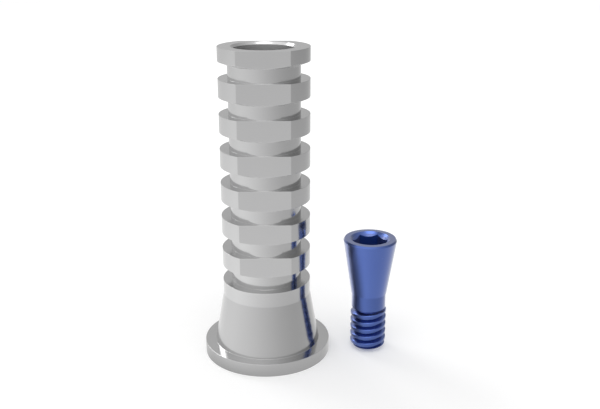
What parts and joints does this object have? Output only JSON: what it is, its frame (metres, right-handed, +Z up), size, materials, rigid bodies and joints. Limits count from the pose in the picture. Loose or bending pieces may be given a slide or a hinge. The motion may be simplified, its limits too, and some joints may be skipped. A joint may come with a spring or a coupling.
{
  "type": "dental abutment",
  "caption": "Ringed titanium sleeve, flatted on opposite sides, on a flared base and flange, with its blue hex socket retaining screw stood beside it.",
  "frame": {"origin": "centre of the sleeve's flange on its flat underside, where the sleeve meets the implant", "axes": "+Z up the sleeve's axis, out of the screw channel; +X from the sleeve to the screw stood beside it; the ring flats face +Y and -Y"},
  "size_m": [0.0075, 0.0048, 0.012],
  "materials": {
    "polished_titanium": "finely turned and polished, bare titanium",
    "blue_anodised_titanium": "turned titanium, anodised blue, glossy"
  },
  "bodies": {
    "root": {"sleeve": "polished_titanium", "retaining_screw": "blue_anodised_titanium"}
  },
  "joints": []
}
